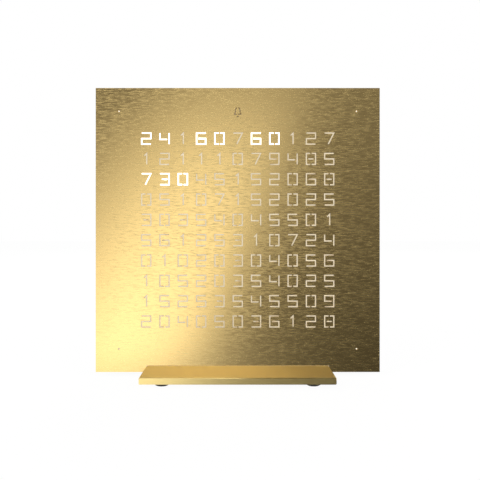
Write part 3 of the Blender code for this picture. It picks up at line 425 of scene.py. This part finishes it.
def close_fitting_face(group):
    """The metal face with its notch closer over the base, where it shows as one thin seam."""
    mesh = frame["nodes"]["front_cover"].data.copy()
    for vertex in mesh.vertices:
        if abs(vertex.co.x) < NOTCH_SIDE_X + TOLERANCE and abs(vertex.co.z - NOTCH_TOP_Z) < TOLERANCE:
            vertex.co.z -= NOTCH_CLOSING
        if abs(abs(vertex.co.x) - NOTCH_SIDE_X) < TOLERANCE and vertex.co.z < NOTCH_TOP_Z + TOLERANCE:
            vertex.co.x -= math.copysign(NOTCH_CLOSING, vertex.co.x)
    piece = bpy.data.objects.new("brushed_face", mesh)
    bpy.context.scene.collection.objects.link(piece)
    dress(piece, MATERIALS["gold_steel"], group)
    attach(piece, "face")
    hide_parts("front_cover")


def stroke_outline(points, width):
    """Outline of a stroke of this width along an open line, with mitred corners and square ends."""
    line = [Vector(point) for point in points]
    directions = [(end - start).normalized() for start, end in zip(line, line[1:])]
    left = []
    right = []
    for index, point in enumerate(line):
        before = directions[max(index - 1, 0)]
        after = directions[min(index, len(directions) - 1)]
        normal = Vector((-before.y, before.x))
        mitre = (normal + Vector((-after.y, after.x))).normalized()
        offset = mitre * (width / 2 / mitre.dot(normal))
        left.append(point + offset)
        right.append(point - offset)
    return left + right[::-1]


def digit_strokes():
    """Open lines of each digit, in shares of the half width and half height between stroke middles."""
    half_width = (DIGIT_WIDTH - STROKE) / 2
    split_share = BRIDGE / 2 / half_width
    stop_share = 1 - (STROKE / 2 + BRIDGE) / half_width
    left_half = ((-split_share, 1), (-1, 1), (-1, -1), (-split_share, -1))
    right_half = tuple((-x, z) for x, z in left_half)
    two = ((-1, 1), (1, 1), (1, 0), (-1, 0), (-1, -1), (1, -1))
    six = ((1, 1), (-1, 1), (-1, -1), (1, -1), (1, 0), (-stop_share, 0))
    return {
        "0": (left_half, right_half),
        "1": (((-0.45, 0.55), (0.1, 1), (0.1, -1)),),
        "2": (two,),
        "3": (((-1, 1), (1, 1), (1, -1), (-1, -1)), ((-0.6, 0), (stop_share, 0))),
        "4": (((-1, 1), (-1, -0.15), (stop_share, -0.15)), ((1, 1), (1, -1))),
        "5": (tuple((-x, z) for x, z in two),),
        "6": (six,),
        "7": (((-1, 1), (1, 1), (-0.2, -1)),),
        "8": (left_half, right_half, ((-stop_share, 0), (stop_share, 0))),
        "9": (tuple((-x, -z) for x, z in six),),
    }


def shortened(line):
    """The open line with both its ends drawn back by the clearance."""
    line = [Vector(point) for point in line]
    line[0] += (line[1] - line[0]).normalized() * INLAY_CLEARANCE
    line[-1] += (line[-2] - line[-1]).normalized() * INLAY_CLEARANCE
    return line


def placed_strokes(lines, x, z, half_width, half_height, width):
    """Outlines of these lines at this place, a clearance inside the strokes cut in the face."""
    for shares in lines:
        line = [(x + sx * half_width, z + sz * half_height) for sx, sz in shares]
        yield stroke_outline(shortened(line), width - 2 * INLAY_CLEARANCE)


def digit_outlines(lit):
    """Outlines of all strokes of the lit digits, or of the unlit ones."""
    strokes = digit_strokes()
    half_width = (DIGIT_WIDTH - STROKE) / 2
    half_height = (DIGIT_HEIGHT - STROKE) / 2
    for row, digits in enumerate(ROWS):
        for column, digit in enumerate(digits):
            if ((row, column) in LIT_CELLS) == lit:
                x = (column - (len(digits) - 1) / 2) * COLUMN_PITCH
                z = ((len(ROWS) - 1) / 2 - row) * ROW_PITCH
                yield from placed_strokes(strokes[digit], x, z, half_width, half_height, STROKE)


def bell_outlines():
    """Outlines of the two halves and the clapper of the bell over the digits."""
    half_width = (BELL_WIDTH - BELL_STROKE) / 2
    half_height = (BELL_HEIGHT - BELL_STROKE) / 2
    split_share = BRIDGE / 2 / half_width
    left_half = ((-split_share, 1), (-0.62, 0.72), (-0.7, -0.1), (-1, -0.5), (-split_share, -0.5))
    right_half = tuple((-x, z) for x, z in left_half)
    clapper = ((-0.3, -1), (0.3, -1))
    lines = (left_half, right_half, clapper)
    yield from placed_strokes(lines, 0, BELL_OFFSET, half_width, half_height, BELL_STROKE)


def light_pipe_outlines(diameter, corners):
    """Round light pipes in the corner holes on these sides of the face."""
    radius = diameter / 2
    angles = [2 * math.pi * step / LIGHT_PIPE_SIDES for step in range(LIGHT_PIPE_SIDES)]
    for side, end in corners:
        x = side * DOT_OFFSET
        z = end * DOT_OFFSET
        yield [(x + radius * math.cos(angle), z + radius * math.sin(angle)) for angle in angles]


def raised_marks(name, outlines, material, depth=INLAY_DEPTH):
    """Marks that stand on the diffuser in the strokes cut in the face, this far below its front."""
    bm = bmesh.new()
    front = FACE_FRONT_Y + depth
    back = SHEET_FRONT_Y + INLAY_ROOT
    for outline in outlines:
        fronts = [bm.verts.new((x, front, FACE_MIDDLE_Z + z)) for x, z in outline]
        backs = [bm.verts.new((x, back, FACE_MIDDLE_Z + z)) for x, z in outline]
        bm.faces.new(fronts)
        bm.faces.new(backs[::-1])
        for index, _ in enumerate(outline):
            following = (index + 1) % len(outline)
            bm.faces.new((fronts[index], backs[index], backs[following], fronts[following]))
    bmesh.ops.triangulate(bm, faces=[face for face in bm.faces if len(face.verts) > 4])
    bmesh.ops.recalc_face_normals(bm, faces=bm.faces)
    mesh = bpy.data.meshes.new(name)
    bm.to_mesh(mesh)
    bm.free()
    piece = bpy.data.objects.new(name, mesh)
    bpy.context.scene.collection.objects.link(piece)
    mesh.materials.append(material)
    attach(piece, "clock_body")


def link_stage(name, data):
    """New object of the stage, which is no part of the clock."""
    obj = bpy.data.objects.new(name, data)
    bpy.context.scene.collection.objects.link(obj)
    obj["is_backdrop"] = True
    return obj


# Floor: its side, its colour, its own light as the camera sees it, and the share of that light
FLOOR_SIZE = 6.0
FLOOR_WHITE = 0.9
FLOOR_GLOW = 1.015
BACKGROUND_SHARE = 0.95


def seen_directly(tree):
    """1 for rays from the camera, a reflection or a clear piece, and 0 for light that falls on things."""
    path = add(tree, "ShaderNodeLightPath").outputs
    seen = calc(tree, "MAXIMUM", path["Is Camera Ray"], path["Is Glossy Ray"])
    return calc(tree, "MAXIMUM", seen, path["Is Transmission Ray"])


def white_floor():
    """Plain pale floor that keeps the object's shadow, and that a camera below it looks through."""
    bm = bmesh.new()
    bmesh.ops.create_grid(bm, x_segments=1, y_segments=1, size=FLOOR_SIZE / 2)
    mesh = bpy.data.meshes.new("floor")
    bm.to_mesh(mesh)
    bm.free()
    link_stage("floor", mesh)
    material, tree, output, _ = new_material("floor_white")
    matt = add(tree, "ShaderNodeBsdfDiffuse", {"Color": (FLOOR_WHITE, FLOOR_WHITE, FLOOR_WHITE, 1)})
    glow = add(tree, "ShaderNodeEmission", {"Strength": FLOOR_GLOW})
    share = calc(tree, "MULTIPLY", seen_directly(tree), BACKGROUND_SHARE)
    above = add(tree, "ShaderNodeMixShader", {0: share, 1: matt.outputs[0], 2: glow.outputs[0]})
    clear = tree.nodes.new("ShaderNodeBsdfTransparent")
    below = add(tree, "ShaderNodeNewGeometry").outputs["Backfacing"]
    mixed = add(tree, "ShaderNodeMixShader", {0: below, 1: above.outputs[0], 2: clear.outputs[0]})
    tree.links.new(mixed.outputs[0], output.inputs["Surface"])
    mesh.materials.append(material)
    material.cycles.emission_sampling = "NONE"


# Light of the world on things, where 1 is white
WORLD_LIGHT = 0.55


def white_world():
    """World that shows white itself and lights things at a plain level."""
    world = bpy.data.worlds.new("white_studio")
    bpy.context.scene.world = world
    world.use_nodes = True
    tree = world.node_tree
    tree.nodes.clear()
    strength = remap(tree, seen_directly(tree), 0, 1, WORLD_LIGHT, 1.0)
    background = add(tree, "ShaderNodeBackground", {"Color": (1, 1, 1, 1), "Strength": strength})
    output = tree.nodes.new("ShaderNodeOutputWorld")
    tree.links.new(background.outputs[0], output.inputs["Surface"])


# Reflector card: it runs out over the floor, bends up into a wall and ends in a roof
REFLECTOR_FLOOR_Z = 0.002
REFLECTOR_NEAR_Y = -0.0095
REFLECTOR_FAR_Y = -0.8
REFLECTOR_BEND = 0.15
REFLECTOR_TOP_Z = 1.6
REFLECTOR_ROOF_Y = 0.8
REFLECTOR_SIDE = 4.0
REFLECTOR_STEPS = 12

# Least depth at which a point of the card is laid out, in distances from the camera to the face
LEAST_DEPTH = 0.3


def reflector_strength(tree):
    """Brightness of the reflector, laid out over the face as the mirrored camera point sees it."""
    eye = Vector((CAMERA_PLACE[0], 2 * FACE_FRONT_Y - CAMERA_PLACE[1], CAMERA_PLACE[2]))
    distance = eye.y - FACE_FRONT_Y
    half = (COVER_HIGH.x - COVER_LOW.x) / 2
    position = add(tree, "ShaderNodeNewGeometry").outputs["Position"]
    offset = add(tree, "ShaderNodeSeparateXYZ", {0: vector_calc(tree, "SUBTRACT", position, eye)}).outputs
    depth = calc(tree, "MAXIMUM", calc(tree, "MULTIPLY", offset["Y"], -1 / distance), LEAST_DEPTH)
    across = calc(tree, "DIVIDE", offset["X"], depth)
    up = calc(tree, "DIVIDE", offset["Z"], depth)
    u = calc(tree, "MULTIPLY_ADD", across, 0.5 / half, 0.5)
    v = calc(tree, "MULTIPLY_ADD", up, -0.5 / half, 0.5)
    return reflector_pattern(tree, u, v)


# Light on the card, laid out over the face: u runs from 0 at its left to 1 at its right, and v from 0 at
# its top to 1 at its foot. A v under 0 is overhead. Slopes are changes for each 1 of v or u.

# Slanted edge between bright and dark, sharp in part and hazy in part, and softer past LOW_START
EDGE_AT_TOP = 0.742
EDGE_SLOPE = -0.422
OVERHEAD_EDGE_SLOPE = 0.125
EDGE_WIDTH = 0.032
HAZE_WIDTH = 0.117
HAZE_SHARE = 0.31
LOW_START = 0.61
LOW_EDGE_WIDTH = 0.242
LOW_HAZE_WIDTH = 0.309
LOW_HAZE_SHARE = 2.1

# Bright side: its rise down the face, its fall past FALL_START and the bright field overhead
LIGHT_AT_TOP = 0.527
LIGHT_SLOPE = 2.88
LIGHT_CURVE = -1.5
LIGHT_LIMITS = (0.0, 1.1)
FALL_START = 0.92
FALL_SLOPE = -2.95
OVERHEAD_LIGHT = 7.55
OVERHEAD_MIDDLE = -1.27
OVERHEAD_REACH = 0.48

# Bright side: how it fades between these distances inside the edge
LEFT_LIMITS = (0.24, 0.7)
LEFT_REACH = 0.431

# Dark side
DARK_AT_TOP = 0.224
DARK_SLOPE = -0.16
DARK_LIMITS = (-0.5, 1.1)

# Ceiling, which takes over above CEILING_START
CEILING_START = -2.6
CEILING_WIDTH = 0.15
CEILING_LIGHT = 0.73
CEILING_SLOPE = -0.444
CEILING_LIMITS = (-0.5, 1.4)

# Largest power of e in a soft step, so that it stays a number
LARGEST_POWER = 30.0


def soft_step(tree, inside, width):
    """1 well inside the edge, 0 well outside it, and a smooth change of this width between."""
    power = calc(tree, "MULTIPLY", calc(tree, "DIVIDE", inside, width), -1.0)
    power = calc(tree, "MINIMUM", power, LARGEST_POWER)
    return calc(tree, "DIVIDE", 1.0, calc(tree, "ADD", calc(tree, "EXPONENT", power), 1.0))


def bell_curve(tree, value, middle, reach):
    """1 at the middle, and less the further the value lies from it on either side."""
    offset = calc(tree, "DIVIDE", calc(tree, "SUBTRACT", value, middle), reach)
    return calc(tree, "EXPONENT", calc(tree, "MULTIPLY", calc(tree, "MULTIPLY", offset, offset), -1.0))


def clamped(tree, value, limits):
    """The value, kept within the two limits."""
    return calc(tree, "MAXIMUM", calc(tree, "MINIMUM", value, limits[1]), limits[0])


def past(tree, value, start):
    """How far the value lies above the start, and 0 below it."""
    return calc(tree, "SUBTRACT", calc(tree, "MAXIMUM", value, start), start)


def lit_share(tree, u, v):
    """How far inside the slanted edge a point lies, and its share of the bright light, softer low down."""
    edge = calc(tree, "MULTIPLY_ADD", calc(tree, "MAXIMUM", v, 0.0), EDGE_SLOPE, EDGE_AT_TOP)
    edge = calc(tree, "MULTIPLY_ADD", calc(tree, "MINIMUM", v, 0.0), OVERHEAD_EDGE_SLOPE, edge)
    inside = calc(tree, "SUBTRACT", edge, u)
    low = past(tree, v, LOW_START)
    low = calc(tree, "MULTIPLY", low, low)
    edge_width = calc(tree, "MULTIPLY_ADD", low, LOW_EDGE_WIDTH, EDGE_WIDTH)
    haze_width = calc(tree, "MULTIPLY_ADD", low, LOW_HAZE_WIDTH, HAZE_WIDTH)
    haze_share = calc(tree, "MULTIPLY_ADD", low, LOW_HAZE_SHARE, HAZE_SHARE)
    sharp = soft_step(tree, inside, edge_width)
    haze = calc(tree, "SUBTRACT", soft_step(tree, inside, haze_width), sharp)
    return inside, calc(tree, "MULTIPLY_ADD", haze, haze_share, sharp)


def reflector_pattern(tree, u, v):
    """Bright below on the left and overhead, with a slanted edge towards a dark right side."""
    v = calc(tree, "MINIMUM", v, LIGHT_LIMITS[1])
    inside, lit = lit_share(tree, u, v)
    height = calc(tree, "MAXIMUM", v, LIGHT_LIMITS[0])
    climb = calc(tree, "MULTIPLY_ADD", height, LIGHT_CURVE, LIGHT_SLOPE)
    level = calc(tree, "MULTIPLY_ADD", height, climb, LIGHT_AT_TOP)
    level = calc(tree, "MULTIPLY_ADD", past(tree, v, FALL_START), FALL_SLOPE, level)
    overhead = bell_curve(tree, v, OVERHEAD_MIDDLE, OVERHEAD_REACH)
    level = calc(tree, "MULTIPLY_ADD", overhead, OVERHEAD_LIGHT, level)
    fade = bell_curve(tree, clamped(tree, inside, LEFT_LIMITS), LEFT_LIMITS[0], LEFT_REACH)
    dark = calc(tree, "MULTIPLY_ADD", clamped(tree, v, DARK_LIMITS), DARK_SLOPE, DARK_AT_TOP)
    shade = calc(tree, "MULTIPLY", dark, calc(tree, "SUBTRACT", 1.0, lit))
    wall = calc(tree, "MULTIPLY_ADD", calc(tree, "MULTIPLY", level, fade), lit, shade)
    ceiling = calc(tree, "MULTIPLY_ADD", clamped(tree, u, CEILING_LIMITS), CEILING_SLOPE, CEILING_LIGHT)
    above = soft_step(tree, calc(tree, "SUBTRACT", CEILING_START, v), CEILING_WIDTH)
    return calc(tree, "MULTIPLY_ADD", calc(tree, "SUBTRACT", ceiling, wall), above, wall)


def gradient_reflector():
    """Curved studio card in front of the clock, which only its reflections show."""
    profile = [(REFLECTOR_NEAR_Y, REFLECTOR_FLOOR_Z), (REFLECTOR_FAR_Y + REFLECTOR_BEND, REFLECTOR_FLOOR_Z)]
    for step in range(1, REFLECTOR_STEPS + 1):
        angle = math.pi / 2 * step / REFLECTOR_STEPS
        profile.append((
            REFLECTOR_FAR_Y + REFLECTOR_BEND * (1 - math.sin(angle)),
            REFLECTOR_FLOOR_Z + REFLECTOR_BEND * (1 - math.cos(angle)),
        ))
    profile.append((REFLECTOR_FAR_Y, REFLECTOR_TOP_Z))
    profile.append((REFLECTOR_ROOF_Y, REFLECTOR_TOP_Z))
    bm = bmesh.new()
    rows = [[bm.verts.new((x, y, z)) for x in (-REFLECTOR_SIDE, REFLECTOR_SIDE)] for y, z in profile]
    for first, second in zip(rows, rows[1:]):
        bm.faces.new((first[0], first[1], second[1], second[0]))
    mesh = bpy.data.meshes.new("gradient_reflector")
    bm.to_mesh(mesh)
    bm.free()
    card = link_stage("gradient_reflector", mesh)
    card.visible_camera = False
    card.visible_diffuse = False
    card.visible_shadow = False
    material, tree, output, _ = new_material("reflector_light")
    glow = add(tree, "ShaderNodeEmission", {"Strength": reflector_strength(tree)})
    tree.links.new(glow.outputs[0], output.inputs["Surface"])
    material.cycles.emission_sampling = "NONE"
    mesh.materials.append(material)


# Softboxes: name, place, side in metres and watts
SOFTBOXES = (
    ("left_softbox", (-0.9, -1.1, 0.7), 0.8, 9),
    ("right_softbox", (1.1, -0.9, 0.9), 0.8, 5),
    ("rear_softbox", (0.2, 1.3, 1.0), 1.0, 7),
)


def softbox(name, place, side, watts):
    """Square lamp that looks at the middle of the face, and that no reflection shows."""
    lamp = bpy.data.lights.new(name, "AREA")
    lamp.shape = "SQUARE"
    lamp.size = side
    lamp.energy = watts
    obj = bpy.data.objects.new(name, lamp)
    bpy.context.scene.collection.objects.link(obj)
    obj.location = place
    aim = Vector((0, 0, FACE_MIDDLE_Z)) - Vector(place)
    obj.rotation_euler = aim.to_track_quat("-Z", "Y").to_euler()
    obj.visible_glossy = False


def studio():
    """Floor, world, reflector card and softboxes."""
    white_floor()
    white_world()
    gradient_reflector()
    for lamp in SOFTBOXES:
        softbox(*lamp)


def photo_camera():
    """Camera square to the face, a little right of its middle and above it."""
    data = bpy.data.cameras.new("camera")
    data.lens = CAMERA_LENS
    data.sensor_width = CAMERA_SENSOR
    data.shift_x, data.shift_y = CAMERA_SHIFT
    camera = bpy.data.objects.new("camera", data)
    bpy.context.scene.collection.objects.link(camera)
    camera.location = CAMERA_PLACE
    camera.rotation_euler = (math.pi / 2, 0, 0)
    bpy.context.scene.camera = camera


photo_camera()
studio()
smoothing = smooth_rounds()
dress_nodes(smoothing)
close_fitting_face(smoothing)
raised_marks("unlit_digits", digit_outlines(False), MATERIALS["milk_acrylic"])
raised_marks("lit_digits", digit_outlines(True), LIT_ACRYLIC)
raised_marks("unlit_bell", bell_outlines(), MATERIALS["milk_acrylic"], BELL_DEPTH)
raised_marks("lit_pipes", light_pipe_outlines(LIT_PIPE_DIAMETER, ((-1, 1), (1, 1), (1, -1))), PIPE_ACRYLIC)
raised_marks("unlit_pipe", light_pipe_outlines(UNLIT_PIPE_DIAMETER, ((-1, -1),)), MATERIALS["milk_acrylic"])
bpy.context.scene.view_settings.view_transform = "Standard"

boxes = {"cad": CAD_BOX, "visual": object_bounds()}
{name: [list(corner) for corner in box] for name, box in boxes.items()}
